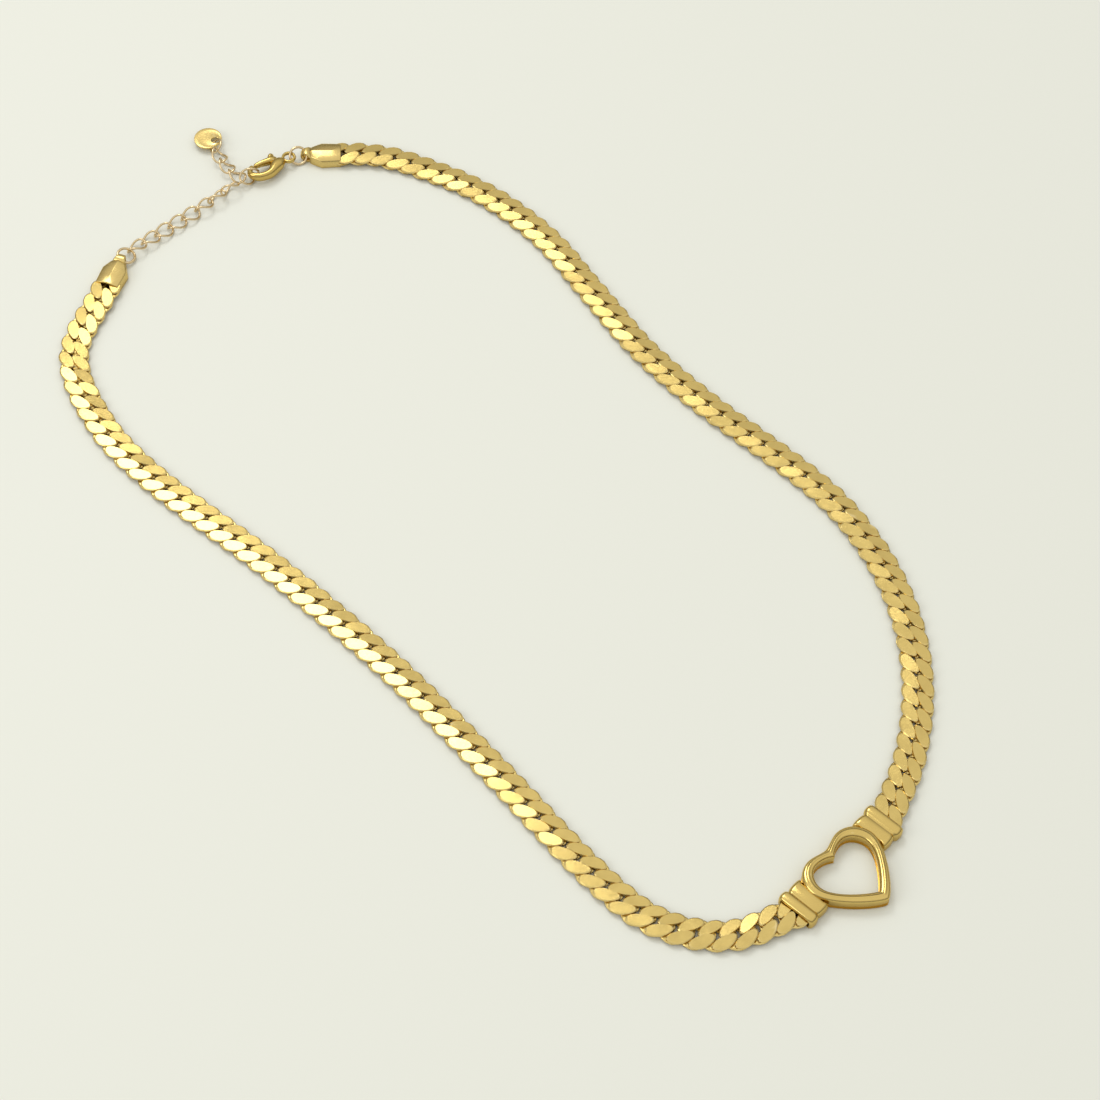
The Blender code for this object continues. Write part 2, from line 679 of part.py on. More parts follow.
def build_extender(ring, hooked_end, mats):
    """The extender from the left jump ring to just short of the hooked link, where the closed loop is left open."""
    parent, far, _ = ring
    slack = (RING_WIRE + EXTENDER_WIRE) / 2 + 2 * RUNNING_GAP
    start = Vector((far.x, far.y, 0))
    end = Vector((hooked_end.x, hooked_end.y, 0))
    line = (end - start).normalized()
    first = start + line * (EXTENDER_REACH - slack)
    last = end - line * (EXTENDER_REACH + EXTENDER_WIRE + 2 * RUNNING_GAP)
    body = parent
    before = far
    for i, roll in enumerate(EXTENDER_ROLLS):
        middle = first.lerp(last, i / (len(EXTENDER_ROLLS) - 1))
        middle.z = resting_height(roll)
        joint = far if i == 0 else (before + middle) / 2
        kind = "bend" if i % 2 == 0 else "swing"
        sign = 1 if i % 4 < 2 else -1
        body = add_small_link(f"extender_link_{i + 1:02d}", middle, line, kind, sign, joint, body, mats, roll)
        before = middle


def build_tail(clasp, mats):
    """The hooked link, the tail, its small ring and the tag. Gives the free end of the hooked link."""
    parent, line, nose = clasp
    slack = EXTENDER_WIRE + 2 * RUNNING_GAP
    middle = nose + line * (EXTENDER_REACH - EXTENDER_WIRE / 2 - HOOK_SLACK)
    middle.z = nose.z + RUNNING_GAP
    body = add_small_link("extender_link_09_hooked", middle, line, "bend", 1, nose, parent, mats,
                          HOOKED_LINK_ROLL)
    free_end = middle + line * EXTENDER_REACH
    hooked = frame(middle, line, roll=HOOKED_LINK_ROLL)
    wrap = link_wire_at(EXTENDER_REACH, EXTENDER_WIDTH, EXTENDER_WIRE, EXTENDER_TWIST, TAIL_WRAP)[0]
    spot = hooked @ wrap
    tail_line = turned(line, TAIL_TURN)
    for i, roll in enumerate(TAIL_ROLLS):
        centre = spot + tail_line * (EXTENDER_REACH - slack)
        centre.z = resting_height(roll)
        joint = Vector((spot.x, spot.y, centre.z))
        kind = "swing" if i % 2 == 0 else "bend"
        name = f"extender_link_{len(EXTENDER_ROLLS) + 2 + i:02d}"
        body = add_small_link(name, centre, tail_line, kind, 1, joint, body, mats, roll)
        spot = centre + tail_line * EXTENDER_REACH
        tail_line = turned(tail_line, TAIL_BEND)
    ring_middle = spot + tail_line * (TAG_RING_RADIUS - slack)
    ring_middle.z = TAG_RING_RADIUS * math.sin(TAG_RING_ROLL) + EXTENDER_WIRE / 2
    spot.z = ring_middle.z
    body = add_body("tag_ring_body", body, hinge_frame(spot, tail_line, "bend", 1))
    ring_world = frame(ring_middle, tail_line, roll=-TAG_RING_ROLL)
    add_piece("tag_ring", round_ring(TAG_RING_RADIUS, EXTENDER_WIRE, steps=14, sides=5), mats["pale"], body,
              ring_world)
    hole_spot = ring_middle + tail_line * TAG_RING_RADIUS
    tag_line = turned(tail_line, TAG_TURN)
    body = add_body("tag_body", body, hinge_frame(hole_spot, tag_line, "bend", 1))
    tag_world = frame(hole_spot + tag_line * TAG_HOLE_REACH, tag_line)
    tag = add_piece("round_tag", rod(TAG_RADIUS, TAG_THICKNESS, steps=24), mats["gold"], body, tag_world)
    hole = rod(TAG_HOLE / 2, 4 * TAG_THICKNESS)
    hole_world = tag_world @ Matrix.Translation((-TAG_HOLE_REACH, 0, 0))
    boolean(tag, add_piece("tag_hole", hole, mats["gold"], body, hole_world), "DIFFERENCE")
    return free_end


def settle_on_origin(root):
    """Moves the whole necklace so that the middle of its footprint is the origin."""
    bpy.context.view_layer.update()
    graph = bpy.context.evaluated_depsgraph_get()
    corners = []
    for obj in bpy.data.objects:
        if obj.type == "MESH" and not obj.hide_render:
            shape = obj.evaluated_get(graph)
            corners += [shape.matrix_world @ vert.co for vert in shape.data.vertices]
    low = Vector(min(corner[i] for corner in corners) for i in range(3))
    high = Vector(max(corner[i] for corner in corners) for i in range(3))
    root.location -= Vector(((low.x + high.x) / 2, (low.y + high.y) / 2, low.z))


def main():
    clear_scene()
    mats = {
        "gold": material("polished gold", GOLD, 0.18),
        "satin": material("rolled gold", SATIN_GOLD, 0.38),
        "pale": material("pale gold wire", PALE_GOLD, 0.25),
        "steel": material("bare steel", STEEL, 0.3),
    }
    root = add_body("centrepiece_body", None, Matrix.Identity(4))
    lefts = link_frames(link_points(-1, LEFT_LAY))
    rights = link_frames(link_points(1, RIGHT_LAY))
    build_centrepiece(root, mats, lefts, rights)
    bodies = build_sides(root, mats, lefts, rights)
    ends = [build_cap(name, frames, mats, bodies[name]) for name, frames in (("left", lefts), ("right", rights))]
    rings = build_rings(bodies, mats, ends)
    clasp = build_clasp(rings["right"], mats)
    hooked_end = build_tail(clasp, mats)
    build_extender(rings["left"], hooked_end, mats)
    settle_on_origin(root)


main()
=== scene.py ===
import json
import math

import bmesh
import bpy
import numpy as np
from mathutils import Matrix, Vector
from mathutils.geometry import interpolate_bezier


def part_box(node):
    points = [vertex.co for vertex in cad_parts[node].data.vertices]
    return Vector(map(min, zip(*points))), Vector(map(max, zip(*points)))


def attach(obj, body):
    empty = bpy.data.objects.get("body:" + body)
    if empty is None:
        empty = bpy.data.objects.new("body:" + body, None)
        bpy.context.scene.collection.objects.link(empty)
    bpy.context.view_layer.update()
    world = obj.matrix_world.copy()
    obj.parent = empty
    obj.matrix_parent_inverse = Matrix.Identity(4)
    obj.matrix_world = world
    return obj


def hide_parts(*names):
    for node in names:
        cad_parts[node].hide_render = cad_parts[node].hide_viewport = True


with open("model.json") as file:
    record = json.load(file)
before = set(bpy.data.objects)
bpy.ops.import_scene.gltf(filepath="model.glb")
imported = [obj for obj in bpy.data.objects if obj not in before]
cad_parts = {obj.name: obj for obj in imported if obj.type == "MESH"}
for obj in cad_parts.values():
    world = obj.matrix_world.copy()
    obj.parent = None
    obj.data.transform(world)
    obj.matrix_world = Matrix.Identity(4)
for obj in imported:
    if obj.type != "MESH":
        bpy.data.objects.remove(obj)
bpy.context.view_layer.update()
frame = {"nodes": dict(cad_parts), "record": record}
record = frame["record"]
mm = 0.001

# heartSpot is the heart's middle on the table; the chain, heart, collars, caps and camera are placed from it
heart = dict(width=15.5, height=13.9, band=1.9, thickness=2.75, rise=4.15, edge=0.62, crown=0.16,
             footRound=0.25)
heartLow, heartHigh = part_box("heart_centrepiece")
heartSpot = Vector(((heartLow.x + heartHigh.x) / 2, heartHigh.y - heart["rise"] * mm, heartLow.z))
print("frame loaded, heart at", [round(v, 5) for v in heartSpot])


# Small helpers for shader and geometry node trees.

def link(tree, out, into):
    tree.links.new(out, into)


def mathNode(tree, operation, *values):
    node = tree.nodes.new("ShaderNodeMath")
    node.operation = operation
    for socket, value in zip(node.inputs, values):
        if isinstance(value, (int, float)):
            socket.default_value = value
        else:
            link(tree, value, socket)
    return node.outputs[0]


def rangeNode(tree, value, fromRange, toRange=(0.0, 1.0)):
    node = tree.nodes.new("ShaderNodeMapRange")
    for label, number in zip(("From Min", "From Max", "To Min", "To Max"), (*fromRange, *toRange)):
        node.inputs[label].default_value = number
    link(tree, value, node.inputs["Value"])
    return node.outputs[0]


def mixColours(tree, share, first, second):
    node = tree.nodes.new("ShaderNodeMix")
    node.data_type = "RGBA"
    link(tree, share, node.inputs[0])
    for socket, colour in ((node.inputs[6], first), (node.inputs[7], second)):  # its two colour sockets
        if isinstance(colour, tuple):
            socket.default_value = (*colour, 1)
        else:
            link(tree, colour, socket)
    return node.outputs[2]


def twoColours(tree, value, first, second, low=0.0, high=1.0):
    ramp = tree.nodes.new("ShaderNodeValToRGB")
    for stop, position, colour in zip(ramp.color_ramp.elements, (low, high), (first, second)):
        stop.position = position
        stop.color = (*colour, 1)
    link(tree, value, ramp.inputs["Fac"])
    return ramp.outputs["Color"]


def blend(first, second, share):
    return tuple(a * (1 - share) + b * share for a, b in zip(first, second))


# Gold and steel finishes: colours, with the painted shade in crevices, roughness, and how deep the brushing
# and grain go.

# each finish's deep colour is both its darker tone and the painted shade in its crevices
finishes = {
    "polishedGold": dict(base=(0.68, 0.50, 0.165), deepToneAndShade=(0.40, 0.25, 0.055), pale=(0.90, 0.74, 0.38),
                         rough=(0.13, 0.22), cloud=160, brush=(700, 700, 2600), brushDepth=0.0012,
                         grain=9000, grainDepth=0.0016, creviceShade=(0.34, 0.48), worn=(0.56, 0.75)),
    "rolledGold": dict(base=(0.68, 0.51, 0.175), deepToneAndShade=(0.22, 0.13, 0.025), pale=(0.92, 0.76, 0.40),
                       rough=(0.15, 0.26), cloud=420, brush=(1600, 6200, 1600), brushDepth=0.0025,
                       grain=11000, grainDepth=0.003, creviceShade=(0.36, 0.49), worn=(0.53, 0.66),
                       # shade: the heights over which the painted shade low between the links fades out
                       shade=(0.10 * mm, 0.58 * mm)),
    "satinCap": dict(base=(0.70, 0.53, 0.20), deepToneAndShade=(0.42, 0.27, 0.07), pale=(0.90, 0.74, 0.40),
                     rough=(0.20, 0.30), cloud=300, brush=(1200, 7000, 1200), brushDepth=0.001,
                     grain=9000, grainDepth=0.0015, creviceShade=(0.38, 0.49), worn=(0.54, 0.68)),
    "paleWire": dict(base=(0.76, 0.60, 0.36), deepToneAndShade=(0.42, 0.28, 0.13), pale=(0.92, 0.80, 0.58),
                     rough=(0.16, 0.28), cloud=520, brush=(2600, 2600, 2600), brushDepth=0.002,
                     grain=12000, grainDepth=0.002, creviceShade=(0.38, 0.49), worn=(0.56, 0.70)),
    "claspGold": dict(base=(0.62, 0.45, 0.14), deepToneAndShade=(0.30, 0.18, 0.035), pale=(0.90, 0.73, 0.36),
                      rough=(0.16, 0.28), cloud=380, brush=(1500, 1500, 4200), brushDepth=0.002,
                      grain=9000, grainDepth=0.002, creviceShade=(0.40, 0.50), worn=(0.55, 0.68)),
    "bareSteel": dict(base=(0.58, 0.56, 0.53), deepToneAndShade=(0.40, 0.38, 0.36), pale=(0.75, 0.74, 0.72),
                      rough=(0.22, 0.40), cloud=500, brush=(2000, 6000, 2000), brushDepth=0.003,
                      grain=9000, grainDepth=0.003, creviceShade=(0.40, 0.495), worn=(0.53, 0.66)),
}


# what the finishes share: how strong and how wide the patches are, how worn edges show, and the bumps
plating = dict(tint=(1.0, 0.93, 0.78, 1.0), patch=0.12, patchRange=(0.30, 0.62), worn=0.6, wornShine=0.08,
               brushShare=0.7, roughRange=(0.3, 0.7), brushTurn=(0.3, 0.2, 0.5), bump=0.5, bumpDistance=0.004)


def makeFinish(name):
    look = finishes[name]
    mat = bpy.data.materials.new(name)
    mat.use_nodes = True
    tree = mat.node_tree
    shader = tree.nodes["Principled BSDF"]
    shader.inputs["Metallic"].default_value = 1.0
    shader.inputs["Specular Tint"].default_value = plating["tint"]
    place = tree.nodes.new("ShaderNodeTexCoord").outputs["Object"]

    def noise(scale, detail=3.0, stretch=None):
        where = place
        if stretch:
            turn = tree.nodes.new("ShaderNodeMapping")
            turn.inputs["Scale"].default_value = stretch
            turn.inputs["Rotation"].default_value = plating["brushTurn"]
            link(tree, place, turn.inputs["Vector"])
            where = turn.outputs["Vector"]
        node = tree.nodes.new("ShaderNodeTexNoise")
        node.inputs["Scale"].default_value = scale
        node.inputs["Detail"].default_value = detail
        link(tree, where, node.inputs["Vector"])
        return node.outputs["Fac"]

    clouds = noise(look["cloud"])
    brushed = noise(1.0, 2.0, look["brush"])
    grain = noise(look["grain"], 1.0)

    # warm and pale patches of the plating, with painted shade darker in the crevices, and paler on worn edges
    patch = blend(look["base"], look["deepToneAndShade"], plating["patch"])
    patches = twoColours(tree, clouds, patch, look["base"], *plating["patchRange"])
    wearAndShade = tree.nodes.new("ShaderNodeNewGeometry").outputs["Pointiness"]
    # painted shade: where pointiness is low, in the crevices, the colour goes to the deep tone
    unshadedShare = rangeNode(tree, wearAndShade, look["creviceShade"])
    edge = rangeNode(tree, wearAndShade, look["worn"], (0.0, plating["worn"]))
    if "shade" in look:
        # painted shade: darker low down between the links, near the table
        spot = tree.nodes.new("ShaderNodeSeparateXYZ")
        link(tree, place, spot.inputs[0])
        unshadedShare = mathNode(tree, "MULTIPLY", unshadedShare, rangeNode(tree, spot.outputs["Z"], look["shade"]))
    colour = mixColours(tree, edge, mixColours(tree, unshadedShare, look["deepToneAndShade"], patches), look["pale"])
    link(tree, colour, shader.inputs["Base Color"])

    # roughness follows the brushing, a little shinier on the worn edges
    share = plating["brushShare"]
    uneven = mathNode(tree, "ADD", mathNode(tree, "MULTIPLY", brushed, share),
                      mathNode(tree, "MULTIPLY", clouds, 1 - share))
    rough = rangeNode(tree, uneven, plating["roughRange"], look["rough"])
    shine = mathNode(tree, "MULTIPLY", edge, plating["wornShine"])
    link(tree, mathNode(tree, "SUBTRACT", rough, shine), shader.inputs["Roughness"])

    height = mathNode(tree, "ADD", mathNode(tree, "MULTIPLY", brushed, look["brushDepth"]),
                      mathNode(tree, "MULTIPLY", grain, look["grainDepth"]))
    bump = tree.nodes.new("ShaderNodeBump")
    bump.inputs["Strength"].default_value = plating["bump"]
    bump.inputs["Distance"].default_value = plating["bumpDistance"]
    link(tree, height, bump.inputs["Height"])
    link(tree, bump.outputs["Normal"], shader.inputs["Normal"])
    return mat


finish = {name: makeFinish(name) for name in finishes}
print("finishes made:", ", ".join(finish))


# Helpers that the pieces are shaped with.

def frameAt(origin, heading):
    # a place on the table with X along the heading and Z as near upright as that allows
    x = Vector(heading).normalized()
    y = Vector((0, 0, 1)).cross(x).normalized()
    turn = Matrix((x, y, x.cross(y))).transposed().to_4x4()
    return Matrix.Translation(origin) @ turn


def finishPiece(name, mesh, mat, body, nodes, smooth=50):
    mesh.materials.clear()
    mesh.materials.append(finish[mat])
    mesh.shade_smooth()
    mesh.set_sharp_from_angle(angle=math.radians(smooth))
    piece = bpy.data.objects.new(name, mesh)
    bpy.context.scene.collection.objects.link(piece)
    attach(piece, body)
    if nodes:
        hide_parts(*nodes)
    return piece


def loft(rows, closeRows=False):
    # a skin over rows of points, with its ends filled or joined to each other
    bm = bmesh.new()
    grid = [[bm.verts.new(point) for point in row] for row in rows]
    count = len(grid) if closeRows else len(grid) - 1
    for i in range(count):
        row, following = grid[i], grid[(i + 1) % len(grid)]
        for j in range(len(row)):
            k = (j + 1) % len(row)
            bm.faces.new((row[j], following[j], following[k], row[k]))
    if not closeRows:
        bm.faces.new(grid[0])
        bm.faces.new(grid[-1])
    return bm


def ringRows(radius, wire, halfHigh, count, sides, square, taper=0.0):
    # a flat ring about Z, in mm; square below 1 fills its corners, taper thins its far side
    rows = []
    for i in range(count):
        turn = math.tau * i / count
        out = Vector((math.cos(turn), math.sin(turn), 0))
        row = []
        for j in range(sides):
            roll = math.tau * j / sides
            c, s = math.cos(roll), math.sin(roll)
            up = Vector((0, 0, halfHigh * (1 - taper * out.x) * math.copysign(abs(s) ** square, s)))
            row.append((out * (radius + wire * math.copysign(abs(c) ** square, c)) + up) * mm)
        rows.append(row)
    return rows


def toMesh(bm, name, world=None):
    bmesh.ops.remove_doubles(bm, verts=bm.verts, dist=1e-7)
    bmesh.ops.recalc_face_normals(bm, faces=bm.faces)
    mesh = bpy.data.meshes.new(name)
    bm.to_mesh(mesh)
    bm.free()
    if world:
        mesh.transform(world)
    return mesh


def joinMeshes(name, meshes):
    bm = bmesh.new()
    for mesh in meshes:
        bm.from_mesh(mesh)
        bpy.data.meshes.remove(mesh)
    joined = bpy.data.meshes.new(name)
    bm.to_mesh(joined)
    bm.free()
    return joined


def inMetres(rows):
    return [[point * mm for point in row] for row in rows]


def withModifiers(mesh, *modifiers):
    holder = bpy.data.objects.new("shaping", mesh)
    bpy.context.scene.collection.objects.link(holder)
    for kind, settings in modifiers:
        modifier = holder.modifiers.new(kind.lower(), kind)
        for key, value in settings.items():
            setattr(modifier, key, value)
    graph = bpy.context.evaluated_depsgraph_get()
    made = bpy.data.meshes.new_from_object(holder.evaluated_get(graph))
    bpy.data.objects.remove(holder)
    return made


# Links, made by two geometry node trees that share their wire and their placing.

def combine(tree, x, y, z):
    node = tree.nodes.new("ShaderNodeCombineXYZ")
    for socket, value in zip(node.inputs, (x, y, z)):
        if isinstance(value, (int, float)):
            socket.default_value = value
        else:
            link(tree, value, socket)
    return node.outputs[0]


def splitPosition(tree):
    at = tree.nodes.new("ShaderNodeSeparateXYZ")
    link(tree, tree.nodes.new("GeometryNodeInputPosition").outputs[0], at.inputs[0])
    return at.outputs["X"], at.outputs["Y"], at.outputs["Z"]


def moved(tree, geometry, x, y, z):
    node = tree.nodes.new("GeometryNodeSetPosition")
    link(tree, geometry, node.inputs["Geometry"])
    link(tree, combine(tree, x, y, z), node.inputs["Position"])
    return node.outputs["Geometry"]


def transformed(tree, geometry, spot=None, turn=None):
    node = tree.nodes.new("GeometryNodeTransform")
    link(tree, geometry, node.inputs["Geometry"])
    if spot is not None:
        link(tree, spot, node.inputs["Translation"])
    if isinstance(turn, tuple):
        node.inputs["Rotation"].default_value = turn
    elif turn is not None:
        link(tree, turn, node.inputs["Rotation"])
    return node.outputs["Geometry"]


def joined(tree, *parts):
    node = tree.nodes.new("GeometryNodeJoinGeometry")
    for part in parts:
        link(tree, part, node.inputs[0])
    return node.outputs[0]


def startTree(name, extra):
    tree = bpy.data.node_groups.new(name, "GeometryNodeTree")
    tree.is_modifier = True
    tree.interface.new_socket("Spots", in_out="INPUT", socket_type="NodeSocketGeometry")
    for label, kind in (("Reach", "Float"), ("Width", "Float"), ("Wire", "Float"), ("Twist", "Float"),
                        ("Half Height", "Float"), ("Looseness", "Float"), ("Seed", "Int"), ("Steps", "Int"),
                        ("Sides", "Int"), *extra, ("Finish", "Material")):
        tree.interface.new_socket(label, in_out="INPUT", socket_type="NodeSocket" + kind)
    tree.interface.new_socket("Links", in_out="OUTPUT", socket_type="NodeSocketGeometry")
    return tree, tree.nodes.new("NodeGroupInput").outputs


def wireTube(tree, given, press=1.0):
    # an oval of wire, twisted so that its ends lean opposite ways, and pressed flat above and below
    def calc(operation, *values):
        return mathNode(tree, operation, *values)

    ring = tree.nodes.new("GeometryNodeCurvePrimitiveCircle")
    link(tree, given["Steps"], ring.inputs["Resolution"])
    index = tree.nodes.new("GeometryNodeInputIndex").outputs[0]
    around = calc("DIVIDE", calc("MULTIPLY", calc("ADD", index, 0.5), math.tau), given["Steps"])
    lean = calc("MULTIPLY", given["Twist"], calc("COSINE", around))
    side = calc("MULTIPLY", calc("MULTIPLY", calc("SUBTRACT", given["Width"], given["Wire"]), 0.5),
                calc("SINE", around))
    oval = moved(tree, ring.outputs["Curve"], calc("MULTIPLY", given["Reach"], calc("COSINE", around)),
                 calc("MULTIPLY", side, calc("COSINE", lean)), calc("MULTIPLY", side, calc("SINE", lean)))
    section = tree.nodes.new("GeometryNodeCurvePrimitiveCircle")
    link(tree, given["Sides"], section.inputs["Resolution"])
    section.inputs["Radius"].default_value = 1.0
    tube = tree.nodes.new("GeometryNodeCurveToMesh")
    link(tree, oval, tube.inputs["Curve"])
    link(tree, section.outputs["Curve"], tube.inputs["Profile Curve"])
    link(tree, calc("MULTIPLY", given["Wire"], 0.5), tube.inputs["Scale"])
    x, y, z = splitPosition(tree)
    high = calc("MULTIPLY", given["Half Height"], press)
    low = calc("MULTIPLY", high, -1.0)
    return moved(tree, tube.outputs["Mesh"], x, y, calc("MAXIMUM", calc("MINIMUM", z, high), low))


def spreadLinks(tree, given, shape):
    # one link on every spot, turned along the chain and a little loose
    facing = tree.nodes.new("FunctionNodeAxesToRotation")
    facing.primary_axis, facing.secondary_axis = "X", "Z"
    for label, socket in (("ahead", "Primary Axis"), ("upward", "Secondary Axis")):
        named = tree.nodes.new("GeometryNodeInputNamedAttribute")
        named.data_type = "FLOAT_VECTOR"
        named.inputs["Name"].default_value = label
        link(tree, named.outputs["Attribute"], facing.inputs[socket])
    chance = tree.nodes.new("FunctionNodeRandomValue")
    chance.data_type = "FLOAT_VECTOR"
    back = mathNode(tree, "MULTIPLY", given["Looseness"], -1.0)
    link(tree, combine(tree, back, back, back), chance.inputs[0])
    link(tree, combine(tree, *[given["Looseness"]] * 3), chance.inputs[1])
    link(tree, given["Seed"], chance.inputs["Seed"])
    toTurn = tree.nodes.new("FunctionNodeEulerToRotation")
    link(tree, chance.outputs[0], toTurn.inputs[0])
    loose = tree.nodes.new("FunctionNodeRotateRotation")
    loose.rotation_space = "LOCAL"
    link(tree, facing.outputs[0], loose.inputs["Rotation"])
    link(tree, toTurn.outputs[0], loose.inputs["Rotate By"])
    copies = tree.nodes.new("GeometryNodeInstanceOnPoints")
    link(tree, given["Spots"], copies.inputs["Points"])
    link(tree, shape, copies.inputs["Instance"])
    link(tree, loose.outputs[0], copies.inputs["Rotation"])
    real = tree.nodes.new("GeometryNodeRealizeInstances")
    link(tree, copies.outputs[0], real.inputs[0])
    paint = tree.nodes.new("GeometryNodeSetMaterial")
    link(tree, real.outputs[0], paint.inputs["Geometry"])
    link(tree, given["Finish"], paint.inputs["Material"])
    link(tree, paint.outputs[0], tree.nodes.new("NodeGroupOutput").inputs[0])


# plain numbers that turn a ball into a leaf, and the share of the link's height that its wire keeps
leafShape = dict(rimPush=-0.6, pressing=1.6, belly=0.22, widening=0.12, wirePress=0.55)


def curbTree():
    labels = ("Leaf Length", "Leaf Width", "Leaf Turn", "Leaf Shift", "Leaf Out", "Roof Slope", "Droop")
    tree, given = startTree("curb links", [(label, "Float") for label in labels])

    def calc(operation, *values):
        return mathNode(tree, operation, *values)

    # a rolled flat leaf with a small bevel: a ball with its rim pushed out and its top pressed level
    ball = tree.nodes.new("GeometryNodeMeshUVSphere")
    ball.inputs["Segments"].default_value = 16
    ball.inputs["Rings"].default_value = 8
    ball.inputs["Radius"].default_value = 1.0
    u, v, w = splitPosition(tree)
    rim = calc("MAXIMUM", calc("SQRT", calc("ADD", calc("MULTIPLY", u, u), calc("MULTIPLY", v, v))), 0.001)
    push = calc("POWER", rim, leafShape["rimPush"])
    u, v = calc("MULTIPLY", u, push), calc("MULTIPLY", v, push)
    pressed = calc("MAXIMUM", calc("MINIMUM", calc("MULTIPLY", w, leafShape["pressing"]), 1.0), -1.0)
    level = calc("MULTIPLY", calc("ADD", pressed, 1.0), 0.5)
    droop = calc("SUBTRACT", 1.0, calc("MULTIPLY", given["Droop"], calc("MULTIPLY", u, u)))
    belly = calc("ADD", calc("MULTIPLY", v, leafShape["belly"]), 1.0)
    widening = calc("ADD", calc("MULTIPLY", u, leafShape["widening"]), 1.0)
    across = calc("MULTIPLY", calc("MULTIPLY", v, belly), widening)
    leaf = moved(tree, ball.outputs["Mesh"], calc("MULTIPLY", u, calc("MULTIPLY", given["Leaf Length"], 0.5)),
                 calc("MULTIPLY", across, calc("MULTIPLY", given["Leaf Width"], 0.5)),
                 calc("MULTIPLY", level, calc("MULTIPLY", given["Half Height"], droop)))
    spot = combine(tree, calc("MULTIPLY", given["Leaf Shift"], -1.0), given["Leaf Out"], 0.0)
    leaf = transformed(tree, leaf, spot, combine(tree, 0.0, 0.0, given["Leaf Turn"]))
    x, y, z = splitPosition(tree)
    roof = calc("SUBTRACT", 1.0, calc("MULTIPLY", given["Roof Slope"], y))
    leaf = moved(tree, leaf, x, y, calc("MULTIPLY", z, roof))
    pair = joined(tree, leaf, transformed(tree, leaf, None, (0.0, 0.0, math.pi)))
    under = transformed(tree, pair, None, (math.pi, 0.0, 0.0))
    spreadLinks(tree, given, joined(tree, wireTube(tree, given, leafShape["wirePress"]), pair, under))
    return tree


def wireTree():
    tree, given = startTree("wire links", ())
    spreadLinks(tree, given, wireTube(tree, given))
    return tree


linkTrees = {"curb": curbTree(), "wire": wireTree()}


def makeLinks(name, kind, places, sizes, mat):
    mesh = bpy.data.meshes.new(name + "Spots")
    mesh.from_pydata([place.translation for place in places], [], [])
    for label, column in (("ahead", 0), ("upward", 2)):
        values = mesh.attributes.new(label, "FLOAT_VECTOR", "POINT")
        for item, place in zip(values.data, places):
            item.vector = place.col[column].xyz
    holder = bpy.data.objects.new(name + "Spots", mesh)
    bpy.context.scene.collection.objects.link(holder)
    modifier = holder.modifiers.new("links", "NODES")
    modifier.node_group = linkTrees[kind]
    for item in linkTrees[kind].interface.items_tree:
        if item.in_out == "INPUT" and item.name in sizes:
            modifier[item.identifier] = sizes[item.name]
        elif item.name == "Finish":
            modifier[item.identifier] = finish[mat]
    graph = bpy.context.evaluated_depsgraph_get()
    made = bpy.data.meshes.new_from_object(holder.evaluated_get(graph))
    holder.modifiers.clear()
    bpy.data.objects.remove(holder)
    for item in list(made.attributes):
        if item.name in ("ahead", "upward"):
            made.attributes.remove(item)
    bm = bmesh.new()
    bm.from_mesh(made)
    bmesh.ops.recalc_face_normals(bm, faces=bm.faces)
    bm.to_mesh(made)
    bm.free()
    return made


# The flat curb chain: its lay on the table, in mm from the heart, and its link.

chain = dict(linksPerSide=60, runsPerSide=12, spread=0.45, collarEnd=11.9, thickness=1.3,
             raised=0.45, raisedLinks=5,       # how far the end links are lifted, and over how many
             leftLay=[(-21.8, 5.2), (-27.7, 15.2), (-28.2, 27.6), (-24.8, 53.8), (-21.8, 81.4),
                      (-21.0, 110.0), (-21.9, 140.0), (-19.9, 156.0), (-12.5, 171.5), (2.3, 179.1)],
             rightLay=[(24.2, 4.8), (36.7, 13.0), (46.8, 24.0), (53.8, 37.2), (57.3, 51.5), (58.2, 80.5),
                       (60.0, 96.0), (64.1, 112.0), (68.1, 128.2), (68.3, 144.4), (64.6, 159.2),
                       (61.0, 166.5), (57.0, 170.9)])
curbLink = {"Reach": 2.45 * mm, "Width": 4.9 * mm, "Wire": 1.4 * mm, "Twist": math.radians(-45),
            "Half Height": 0.66 * mm, "Leaf Length": 4.75 * mm, "Leaf Width": 2.25 * mm,
            "Leaf Turn": math.radians(30), "Leaf Shift": 1.08 * mm, "Leaf Out": 1.12 * mm,
            "Roof Slope": 130.0, "Droop": 0.02, "Looseness": math.radians(1.6), "Seed": 7, "Steps": 14,
            "Sides": 7}
linkSharp = 18                                 # degrees, past which a link's edge stays crisp


def smoothRoute(points, perSpan=24):
    line = []
    for i in range(len(points) - 1):
        before = points[max(i - 1, 0)]
        a, b = points[i], points[i + 1]
        after = points[min(i + 2, len(points) - 1)]
        span = (b - a).length
        leave = (b - before).normalized() * span / 3
        arrive = (after - a).normalized() * span / 3
        line += interpolate_bezier(a, a + leave, b - arrive, b, perSpan + 1)[:-1]
    return line + [points[-1]]


def evenPoints(line, count):
    lengths = [0.0]
    for a, b in zip(line, line[1:]):
        lengths.append(lengths[-1] + (b - a).length)
    found, i = [], 0
    for n in range(count):
        wanted = lengths[-1] * n / (count - 1)
        while i < len(line) - 2 and lengths[i + 1] < wanted:
            i += 1
        part = (wanted - lengths[i]) / (lengths[i + 1] - lengths[i])
        found.append(line[i].lerp(line[i + 1], part))
    return found


